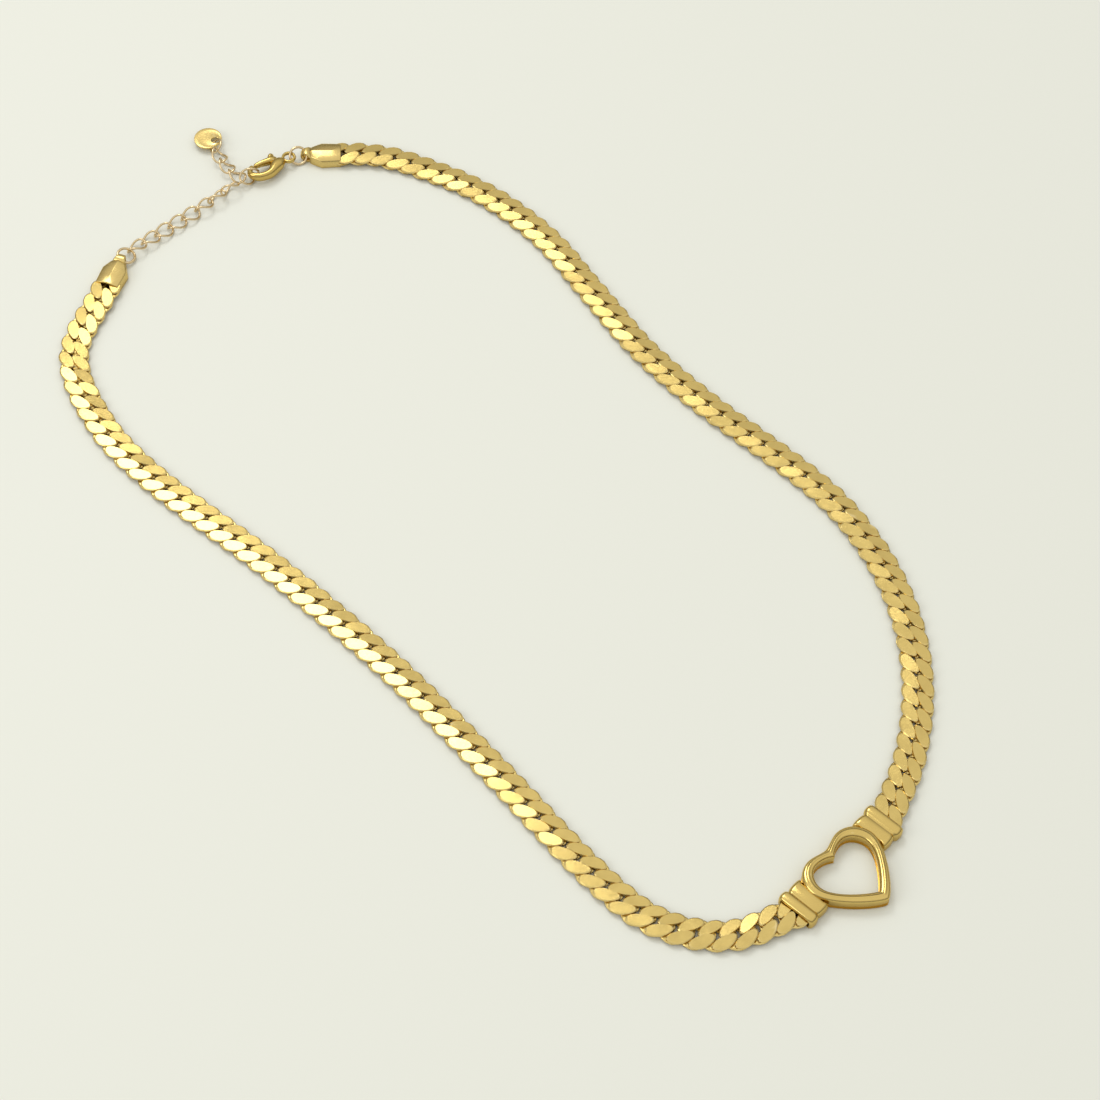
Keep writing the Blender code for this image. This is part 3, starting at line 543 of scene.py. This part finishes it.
def linkPlaces(side, lay):
    first = Vector((side * (chain["collarEnd"] - chain["spread"]) * mm, 0, 0))
    route = smoothRoute([first] + [Vector((x * mm, y * mm, 0)) for x, y in lay])
    middles = evenPoints(route, chain["linksPerSide"])
    low = chain["thickness"] * mm / 2
    for i, middle in enumerate(middles):
        fromEnd = min(i, chain["linksPerSide"] - 1 - i)
        share = max(0.0, 1 - fromEnd / chain["raisedLinks"])
        middle.z = low + chain["raised"] * mm * share * share * (3 - 2 * share)
    places = []
    for i, middle in enumerate(middles):
        ahead = middles[min(i + 1, len(middles) - 1)] - middles[max(i - 1, 0)]
        places.append(frameAt(middle + heartSpot, ahead))
    return places


def buildLinks(name, places, sizes, body, node):
    mesh = makeLinks(name, "curb", places, sizes, "rolledGold")
    finishPiece(name, mesh, "rolledGold", body, [node], linkSharp)


def buildChain():
    free = chain["linksPerSide"] - 2
    runs = chain["runsPerSide"]
    lastPlace = {}
    still = dict(curbLink, Looseness=0.0)
    for name, side, lay, seed in (("left", -1, chain["leftLay"], 0), ("right", 1, chain["rightLay"], 100)):
        places = linkPlaces(side, lay)
        for number in range(runs):
            first = 1 + free * number // runs
            last = 1 + free * (number + 1) // runs
            run = f"{name}_run_{number + 1:02d}"
            sizes = dict(curbLink, Seed=curbLink["Seed"] + number + seed)
            buildLinks(f"{run}_links", places[first:last], sizes, run, run)
        buildLinks(f"{name}_collar_end_link", places[:1], still, "centrepiece", f"{name}_collar_link")
        buildLinks(f"{name}_cap_end_link", places[-1:], still, f"{name}_cap", f"{name}_cap_link")
        lastPlace[name] = places[-1]
    return lastPlace


lastPlace = buildChain()
print("curb chain made:", chain["linksPerSide"], "links a side")


# The open heart, with its outline drawn on one half and mirrored.

def heartLine(notch, top, widest, tip, handles, density):
    toTop, toWidest, toTip = handles
    half = []
    for a, leave, arrive, b, count in ((notch, *toTop, top, 5), (top, *toWidest, widest, 6),
                                       (widest, *toTip, tip, 8)):
        flat = [Vector((x, y, 0)) for x, y in (a, leave, arrive, b)]
        half += interpolate_bezier(*flat, count * density + 1)[:-1]
    half.append(Vector((*tip, 0)))
    return half + [Vector((-point.x, point.y, 0)) for point in reversed(half[1:-1])]


def heartLines(density=4):
    # the outer and the inner outline, with handles as shares of the half width and the rise
    w = heart["width"] / 2 * mm
    top = heart["rise"] * mm
    low = top - heart["height"] * mm
    band = heart["band"] * mm
    outer = heartLine((0, top - 0.75 * mm), (0.46 * w, top), (w, -0.2 * mm), (0, low),
                      (((0.13 * w, top - 0.75 * mm), (0.31 * w, top)), ((0.76 * w, top), (w, 0.55 * top)),
                       ((w, 0.36 * low), (0.18 * w, low + 0.1 * mm))), density)
    inner = heartLine((0, top - 0.8 * mm - band), (0.40 * w, top - band + 0.35 * mm), (w - band, -0.5 * mm),
                      (0, low + band + 0.1 * mm),
                      (((0.12 * w, top - band), (0.27 * w, top - band + 0.35 * mm)),
                       ((0.58 * w, top - band + 0.35 * mm), (w - band, 0.30 * top)),
                       ((w - band, 0.33 * low), (0.16 * w, low + band + 0.85 * mm))), density)
    return outer, inner


def heartEdgeAt(y):
    outer, _ = heartLines(2)
    right = [point for point in outer if point.x >= 0]
    best = 0.0
    for a, b in zip(right, right[1:]):
        if min(a.y, b.y) <= y <= max(a.y, b.y) and a.y != b.y:
            best = max(best, a.lerp(b, (y - a.y) / (b.y - a.y)).x)
    return best


def buildHeart():
    outer, inner = heartLines()
    high = heart["thickness"] * mm
    edge = heart["edge"] * mm
    crown = heart["crown"] * mm
    band = heart["band"] * mm
    footRound = heart["footRound"] * mm
    # points across the band from inside to outside, and up
    foot = []                                   # small round at the inner foot
    for i in range(5):
        turn = math.pi / 2 * (1 - i / 4)
        foot.append((footRound * (1 - math.sin(turn)), footRound * (1 - math.cos(turn))))
    top = []
    for i in range(8):                          # inner shoulder
        turn = math.pi / 2 * i / 7
        top.append((edge * (1 - math.cos(turn)), high - crown - edge * (1 - math.sin(turn))))
    shoulder = list(top)
    for i in range(1, 6):                       # low crown
        share = i / 6
        x = edge + (band - 2 * edge) * share
        top.append((x, high - crown + crown * math.sin(math.pi * share)))
    across = foot + top + [(band - x, z) for x, z in reversed(foot + shoulder)]
    rows = []
    for outPoint, inPoint in zip(outer, inner):
        rows.append([inPoint.lerp(outPoint, x / band) + Vector((0, 0, z)) for x, z in across])
    mesh = toMesh(loft(rows, closeRows=True), "heart", Matrix.Translation(heartSpot))
    finishPiece("open_heart", mesh, "polishedGold", "centrepiece", ["heart_centrepiece"], 60)


buildHeart()
print("heart made")


# The two collars beside the heart.

collar = dict(end=11.9, width=7.2, innerWidth=6.7, height=2.45, gap=0.2, corner=0.8, wall=0.38, depth=2.6,
              floor=0.12, stations=26, ridgeHeight=0.42, ridgeStep=0.12, ridgeRound=2.4, ridgeShift=0.05)


def roundedOutline(halfWidth, low, high, corner, foot, count=7):
    points = []
    for cx, cz, radius, start in ((halfWidth - corner, high - corner, corner, 0.0),
                                  (-halfWidth + corner, high - corner, corner, math.pi / 2),
                                  (-halfWidth + foot, low + foot, foot, math.pi),
                                  (halfWidth - foot, low + foot, foot, 1.5 * math.pi)):
        for i in range(count):
            turn = start + math.pi / 2 * i / (count - 1)
            points.append((cx + radius * math.cos(turn), cz + radius * math.sin(turn)))
    return points


def buildCollar(name, side):
    start = heart["width"] / 2 + collar["gap"]
    end = collar["end"]
    middle = (start + end) / 2 - collar["ridgeShift"]
    rows = []
    for i in range(collar["stations"] + 1):
        x = start + (end - start) * i / collar["stations"]
        inOuter = x >= middle
        a, b = (middle, end) if inOuter else (start, middle)
        lean = 2 * (x - a) / (b - a) - 1
        bulge = math.sqrt(max(0.0, 1 - abs(lean) ** collar["ridgeRound"]))
        lower = collar["ridgeHeight"] * (1 - bulge)
        width = (collar["width"] if inOuter else collar["innerWidth"]) / 2 - lower
        high = collar["height"] - lower - (0.0 if inOuter else collar["ridgeStep"])
        outline = roundedOutline(width, collar["floor"], high, collar["corner"], 0.3)
        follow = max(0.0, 1 - (x - start) / (middle - start))
        rows.append([(x, y, z, follow) for y, z in outline])
    wall = collar["wall"]
    high = collar["height"] - collar["ridgeHeight"] * 0.5 - wall
    # the mouth that the end link sits in
    for x, shrink in ((end - 0.02, 0.0), (end - 0.25, 0.06), (end - collar["depth"], 0.06)):
        half = collar["width"] / 2 - wall - 0.25 - shrink
        outline = roundedOutline(half, 0.3 + shrink, high - shrink, 0.45, 0.2)
        rows.append([(x, y, z, 0.0) for y, z in outline])
    solid = []
    for row in rows:
        points = []
        for x, y, z, follow in row:
            # the end beside the heart follows the heart's outline
            shift = follow * (heartEdgeAt(y * mm) / mm - heart["width"] / 2) if follow else 0.0
            points.append(Vector(((x + shift) * side, y, z)) * mm)
        solid.append(points)
    mesh = toMesh(loft(solid), name, Matrix.Translation(heartSpot))
    finishPiece(f"{name}_ridged_collar", mesh, "polishedGold", "centrepiece", [f"{name}_collar"],
                50)


buildCollar("left", -1)
buildCollar("right", 1)
print("collars made")


# The end caps, pressed flat and drawn in to a ring.

cap = dict(length=7.9, eyeRadius=1.2, eyeHole=1.2, eyeThickness=1.85, wall=0.3, mouthHalf=2.38, slotDepth=3.2,
           # along the cap: distance from the mouth, half width, height of the side, height of the ridge
           stations=[(0.0, 2.38, 1.80, 2.20), (0.12, 2.45, 1.88, 2.28), (1.9, 2.55, 1.90, 2.34),
                     (3.75, 2.62, 1.92, 2.40), (4.0, 2.50, 1.92, 2.40), (4.5, 2.24, 1.94, 2.40),
                     (5.0, 1.95, 1.96, 2.40), (5.4, 1.72, 1.96, 2.38), (5.75, 1.50, 1.92, 2.34),
                     (5.95, 1.34, 1.84, 2.24), (6.05, 1.15, 1.6, 1.95)])


def capOutline(half, edgeTop, ridgeTop, low=0.0):
    right = [(half * 0.94, low), (half, low + 0.15), (half * 0.985, edgeTop * 0.62),
             (half * 0.90, edgeTop - 0.14), (half * 0.80, edgeTop + 0.02),
             (half * 0.40, edgeTop + (ridgeTop - edgeTop) * 0.52)]
    left = [(-y, z) for y, z in reversed(right)]
    return right + [(0.0, ridgeTop)] + left + [(-half * 0.5, low), (half * 0.5, low)]


def buildCap(name):
    last = lastPlace[name]
    along = Vector((last.col[0].x, last.col[0].y, 0)).normalized()
    mouth = last.translation + along * chain["spread"] * mm
    mouth.z = heartSpot.z
    world = frameAt(mouth, along)
    outside = [[Vector((x, y, z)) for y, z in capOutline(half, edgeTop, ridgeTop)]
               for x, half, edgeTop, ridgeTop in cap["stations"]]
    inside = []
    for x, shrink in ((cap["slotDepth"], 0.12), (0.3, 0.05), (0.02, 0.0)):
        half = cap["mouthHalf"] - cap["wall"] - shrink
        outline = capOutline(half, 1.62 - shrink, 1.80 - shrink, 0.25)
        inside.append([Vector((x, y, z)) for y, z in outline])
    body = toMesh(loft(inMetres(inside + outside)), name, world)
    body = withModifiers(body, ("BEVEL", dict(width=0.06 * mm, segments=2, limit_method="ANGLE",
                                              angle_limit=math.radians(24))))
    wire = (cap["eyeRadius"] - cap["eyeHole"] / 2) / 2
    middle = Vector((cap["length"] - cap["eyeRadius"], 0, cap["eyeRadius"] + 0.02))
    ring = ringRows(cap["eyeRadius"] - wire, wire, cap["eyeThickness"] / 2, 36, 14, 0.4, 0.42)
    upright = Matrix.Translation(middle * mm) @ Matrix.Rotation(math.pi / 2, 4, "X")
    eye = toMesh(loft(ring, closeRows=True), name, world @ upright)
    mesh = joinMeshes(name, [body, eye])
    finishPiece(f"{name}_crimped_cap", mesh, "satinCap", f"{name}_cap", [f"{name}_end_cap"],
                32)


buildCap("left")
buildCap("right")
print("end caps made")


# Jump rings, tag ring and the extender's links.

def lieOf(node):
    # a ring's middle and the two directions that it spreads in most, from its corners in the CAD
    corners = np.array([v.co for v in frame["nodes"][node].data.vertices])
    corners = np.unique(np.round(corners, 7), axis=0)
    middle = corners.mean(0)
    _, _, axes = np.linalg.svd(corners - middle, full_matrices=False)
    x, y = Vector(axes[0]), Vector(axes[1])
    turn = Matrix((x, y, x.cross(y))).transposed().to_4x4()
    return Matrix.Translation(Vector(middle)) @ turn


def bodyOf(node):
    return next(body for body, nodes in record["behaviour"]["bodies"].items() if node in nodes)


def jointNamed(name):
    return next(joint for joint in record["behaviour"]["joints"] if joint["name"] == name)


wireSizes = {
    "jump": {"Reach": 1.65 * mm, "Width": 3.8 * mm, "Wire": 0.5 * mm, "Twist": 0.0},
    "tagRing": {"Reach": 1.4 * mm, "Width": 3.25 * mm, "Wire": 0.45 * mm, "Twist": 0.0},
    "extender": {"Reach": 2.0 * mm, "Width": 3.4 * mm, "Wire": 0.42 * mm, "Twist": math.radians(45)},
}
wireShared = {"Half Height": 1.0, "Looseness": 0.0, "Seed": 1, "Steps": 40, "Sides": 14}


def buildWire():
    kinds = {"left_jump_ring": "jump", "right_jump_ring": "jump", "tag_ring": "tagRing"}
    for node in sorted(frame["nodes"]):
        if node.startswith("extender_link"):
            kinds[node] = "extender"
    for node, kind in kinds.items():
        sizes = dict(wireShared, **wireSizes[kind])
        mesh = makeLinks(node, "wire", [lieOf(node)], sizes, "paleWire")
        finishPiece(f"{node}_wire", mesh, "paleWire", bodyOf(node), [node], 60)


buildWire()
print("rings and extender made")


# The round tag.

tag = dict(radius=2.7, thickness=0.45, hole=1.6, holeReach=1.6, holeEdge=0.06, rim=0.12, dish=0.05, points=96)


def buildTag():
    low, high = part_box("round_tag")
    middle = (low + high) / 2
    joint = jointNamed("tag_bend")
    holeSpot = Vector((joint["pos_m"][0], joint["pos_m"][1], middle.z))
    world = frameAt(middle, middle - holeSpot)
    turns = [math.tau * i / tag["points"] for i in range(tag["points"])]
    around = [Vector((math.cos(turn), math.sin(turn), 0)) for turn in turns]
    half, rim, holeEdge = tag["thickness"] / 2, tag["rim"], tag["holeEdge"]
    radius, holeRadius = tag["radius"], tag["hole"] / 2
    holeMiddle = Vector((-tag["holeReach"], 0, 0))

    def faceRow(share, side):
        # a row of the face between the hole and the rim, a little dished
        row = []
        for out in around:
            point = (holeMiddle + out * (holeRadius + holeEdge)).lerp(out * (radius - rim), share)
            point.z = side * (half - tag["dish"] * math.sin(math.pi * share))
            row.append(point)
        return row

    rows = [faceRow(share, 1) for share in (0.25, 0.5, 0.75)]
    for reach, z in ((radius - rim, half), (radius - rim * 0.4, half - rim * 0.15), (radius, half - rim),
                     (radius, -half + rim), (radius - rim * 0.4, -half + rim * 0.15), (radius - rim, -half)):
        rows.append([out * reach + Vector((0, 0, z)) for out in around])
    rows += [faceRow(share, -1) for share in (0.75, 0.5, 0.25)]
    for reach, z in ((holeRadius + holeEdge, -half), (holeRadius, -half + holeEdge),
                     (holeRadius, half - holeEdge), (holeRadius + holeEdge, half)):
        rows.append([holeMiddle + out * reach + Vector((0, 0, z)) for out in around])
    mesh = toMesh(loft(inMetres(rows), closeRows=True), "tag", world)
    finishPiece("plain_round_tag", mesh, "satinCap", "tag", ["round_tag"], 40)


buildTag()
print("tag made")


# The lobster clasp.

clasp = dict(reach=9.0, width=4.3, eyeRadius=1.4, eyeHole=1.7, eyeHalfHigh=0.38,
             pinAlong=0.34, pinAcross=0.23,    # the pin's place, as shares of the reach and the width
             # along each bar: place as shares of the reach and the width, half width, half thickness
             hook=[(0.12, 0.00, 0.32, 0.50), (0.17, -0.02, 0.80, 0.78), (0.25, -0.05, 1.18, 1.00),
                   (0.34, -0.12, 1.22, 1.10), (0.43, -0.24, 1.00, 1.12), (0.53, -0.35, 0.80, 1.06),
                   (0.65, -0.38, 0.70, 0.98), (0.78, -0.32, 0.66, 0.92), (0.88, -0.18, 0.64, 0.86),
                   (0.935, 0.02, 0.60, 0.80), (0.92, 0.20, 0.55, 0.72), (0.865, 0.34, 0.48, 0.64),
                   (0.80, 0.39, 0.38, 0.52), (0.785, 0.395, 0.20, 0.30)],
             lever=[(0.235, 0.30, 0.20, 0.30), (0.27, 0.28, 0.56, 0.60), (0.34, 0.28, 0.78, 0.84),
                    (0.43, 0.31, 0.68, 0.84), (0.53, 0.35, 0.58, 0.76), (0.64, 0.385, 0.52, 0.66),
                    (0.73, 0.39, 0.42, 0.54), (0.762, 0.39, 0.24, 0.34)],
             thumb=[(0.30, 0.34, 0.30, 0.40), (0.315, 0.42, 0.74, 0.80), (0.335, 0.48, 0.80, 0.86),
                    (0.355, 0.535, 0.60, 0.66), (0.365, 0.565, 0.18, 0.22)])


def flatSweep(stations, sides=16, square=0.85):
    # rows of points round a flat bar through the stations
    spots = [Vector((x, y, 0)) for x, y, _, _ in stations]
    rows = []
    for i, (x, y, half, thick) in enumerate(stations):
        ahead = (spots[min(i + 1, len(spots) - 1)] - spots[max(i - 1, 0)]).normalized()
        across = Vector((-ahead.y, ahead.x, 0))
        row = []
        for j in range(sides):
            turn = math.tau * j / sides
            c, s = math.cos(turn), math.sin(turn)
            row.append(spots[i] + across * half * math.copysign(abs(c) ** square, c)
                       + Vector((0, 0, thick * math.copysign(abs(s) ** square, s))))
        rows.append(row)
    return rows


def smoothStations(stations, perSpan=5):
    # a Catmull-Rom curve through the stations, in mm
    reach, width = clasp["reach"], clasp["width"]
    sizes = np.array([(reach * x, -width * y, half, thick) for x, y, half, thick in stations])
    out = []
    for i in range(len(sizes) - 1):
        a, b, c, d = (sizes[k] for k in (max(i - 1, 0), i, i + 1, min(i + 2, len(sizes) - 1)))
        for n in range(perSpan):
            t = n / perSpan
            bent = (2 * a - 5 * b + 4 * c - d) * t ** 2 + (3 * b - a - 3 * c + d) * t ** 3
            out.append(tuple(0.5 * (2 * b + (c - a) * t + bent)))
    return out + [tuple(sizes[-1])]


def claspWorld():
    # the clasp points from its pin to the hooked link, square to its bending axis
    pinSpot = Vector(jointNamed("clasp_lever_press")["pos_m"])
    axis = Vector(jointNamed("clasp_bend")["axis"])
    along = Vector((axis.y, -axis.x, 0))
    if along.dot(lieOf("extender_link_09_hooked").translation - pinSpot) < 0:
        along = -along
    low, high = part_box("clasp_hook_body")
    pinPlace = Vector((clasp["pinAlong"] * clasp["reach"], -clasp["pinAcross"] * clasp["width"], 0)) * mm
    spot = pinSpot - frameAt((0, 0, 0), along) @ pinPlace
    spot.z = (low.z + high.z) / 2
    return frameAt(spot, along)


def buildClasp():
    world = claspWorld()
    hook = flatSweep(smoothStations(clasp["hook"]))
    hookMesh = toMesh(loft(inMetres(hook)), "hook", world)
    wire = (clasp["eyeRadius"] - clasp["eyeHole"] / 2) / 2
    eye = ringRows(clasp["eyeRadius"] - wire, wire, clasp["eyeHalfHigh"], 40, 12, 0.8)
    eyeMesh = toMesh(loft(eye, closeRows=True), "eye", world)
    mesh = joinMeshes("clasp", [hookMesh, eyeMesh])
    finishPiece("lobster_clasp_body", mesh, "claspGold", "clasp", ["clasp_hook_body"], 50)
    bar = toMesh(loft(inMetres(flatSweep(smoothStations(clasp["lever"]), 12))), "bar", world)
    knob = toMesh(loft(inMetres(flatSweep(smoothStations(clasp["thumb"], 4), 12, 1.0))), "knob", world)
    mesh = joinMeshes("lever", [bar, knob])
    finishPiece("thumb_lever", mesh, "claspGold", "lever", ["clasp_lever"], 50)


buildClasp()
for node in ("clasp_pin", "clasp_spring"):
    mesh = frame["nodes"][node].data
    mesh.materials.clear()
    mesh.materials.append(finish["bareSteel"])
print("clasp made")


# Table, light and camera.

stage = dict(tableColour=(0.80, 0.81, 0.735), tableSize=2.4, tableRough=0.55,
             sky=(1.0, 0.99, 0.95), skyStrength=0.96, horizon=0.12, ceiling=0.80, roomShare=0.24,
             # each lamp: where it hangs, its size in metres and its power
             lamps=[("key", (0.18, 0.52, 0.84), 0.36, 2.0), ("window", (-0.75, 0.35, 0.55), 0.5, 1.6)],
             # the camera's place from the heart in mm, and its angles in degrees
             lens=90.2, away=(-195.05, -111.05, 392.9), azimuth=48.06, elevation=54.3, roll=0.72)


def plainMaterial(name, colour, rough):
    mat = bpy.data.materials.new(name)
    mat.use_nodes = True
    tree = mat.node_tree
    shader = tree.nodes["Principled BSDF"]
    shader.inputs["Roughness"].default_value = rough
    noise = tree.nodes.new("ShaderNodeTexNoise")
    noise.inputs["Scale"].default_value = 3.0
    link(tree, tree.nodes.new("ShaderNodeTexCoord").outputs["Object"], noise.inputs["Vector"])
    darker = tuple(c * 0.985 for c in colour)
    link(tree, twoColours(tree, noise.outputs["Fac"], darker, colour), shader.inputs["Base Color"])
    return mat


def buildStage():
    size = stage["tableSize"] / 2
    mesh = bpy.data.meshes.new("table")
    corners = [(-size, -size, 0), (size, -size, 0), (size, size, 0), (-size, size, 0)]
    mesh.from_pydata(corners, [], [(0, 1, 2, 3)])
    mesh.materials.append(plainMaterial("paleTable", stage["tableColour"], stage["tableRough"]))
    table = bpy.data.objects.new("table", mesh)
    bpy.context.scene.collection.objects.link(table)


def buildLights():
    world = bpy.data.worlds.new("studio")
    bpy.context.scene.world = world
    world.use_nodes = True
    tree = world.node_tree
    background = tree.nodes["Background"]
    background.inputs["Strength"].default_value = stage["skyStrength"]
    # a pale ceiling that falls off to a darker room near the horizon
    height = tree.nodes.new("ShaderNodeSeparateXYZ")
    link(tree, tree.nodes.new("ShaderNodeTexCoord").outputs["Generated"], height.inputs[0])
    room = tuple(c * stage["roomShare"] for c in stage["sky"])
    fade = twoColours(tree, height.outputs["Z"], room, stage["sky"], stage["horizon"], stage["ceiling"])
    link(tree, fade, background.inputs["Color"])
    for name, spot, size, power in stage["lamps"]:
        data = bpy.data.lights.new(name, "AREA")
        data.shape = "SQUARE"
        data.size = size
        data.energy = power
        lamp = bpy.data.objects.new(name, data)
        bpy.context.scene.collection.objects.link(lamp)
        lamp.location = spot
        lamp.rotation_mode = "QUATERNION"
        lamp.rotation_quaternion = (-Vector(spot)).to_track_quat("-Z", "Y")


def buildCamera():
    data = bpy.data.cameras.new("camera")
    data.lens = stage["lens"]
    data.clip_start, data.clip_end = 0.01, 10
    camera = bpy.data.objects.new("camera", data)
    bpy.context.scene.collection.objects.link(camera)
    a, e, r = (math.radians(stage[key]) for key in ("azimuth", "elevation", "roll"))
    ahead = Vector((math.cos(e) * math.sin(a), math.cos(e) * math.cos(a), -math.sin(e)))
    right = Vector((math.cos(a), -math.sin(a), 0))
    up = right.cross(ahead)
    right, up = right * math.cos(r) + up * math.sin(r), up * math.cos(r) - right * math.sin(r)
    turn = Matrix((right, up, -ahead)).transposed()
    camera.rotation_mode = "QUATERNION"
    camera.rotation_quaternion = turn.to_quaternion()
    camera.location = Vector(stage["away"]) * mm + heartSpot
    bpy.context.scene.camera = camera


buildStage()
buildLights()
buildCamera()
bpy.context.scene.view_settings.view_transform = "Standard"
print("stage, lights and camera made")
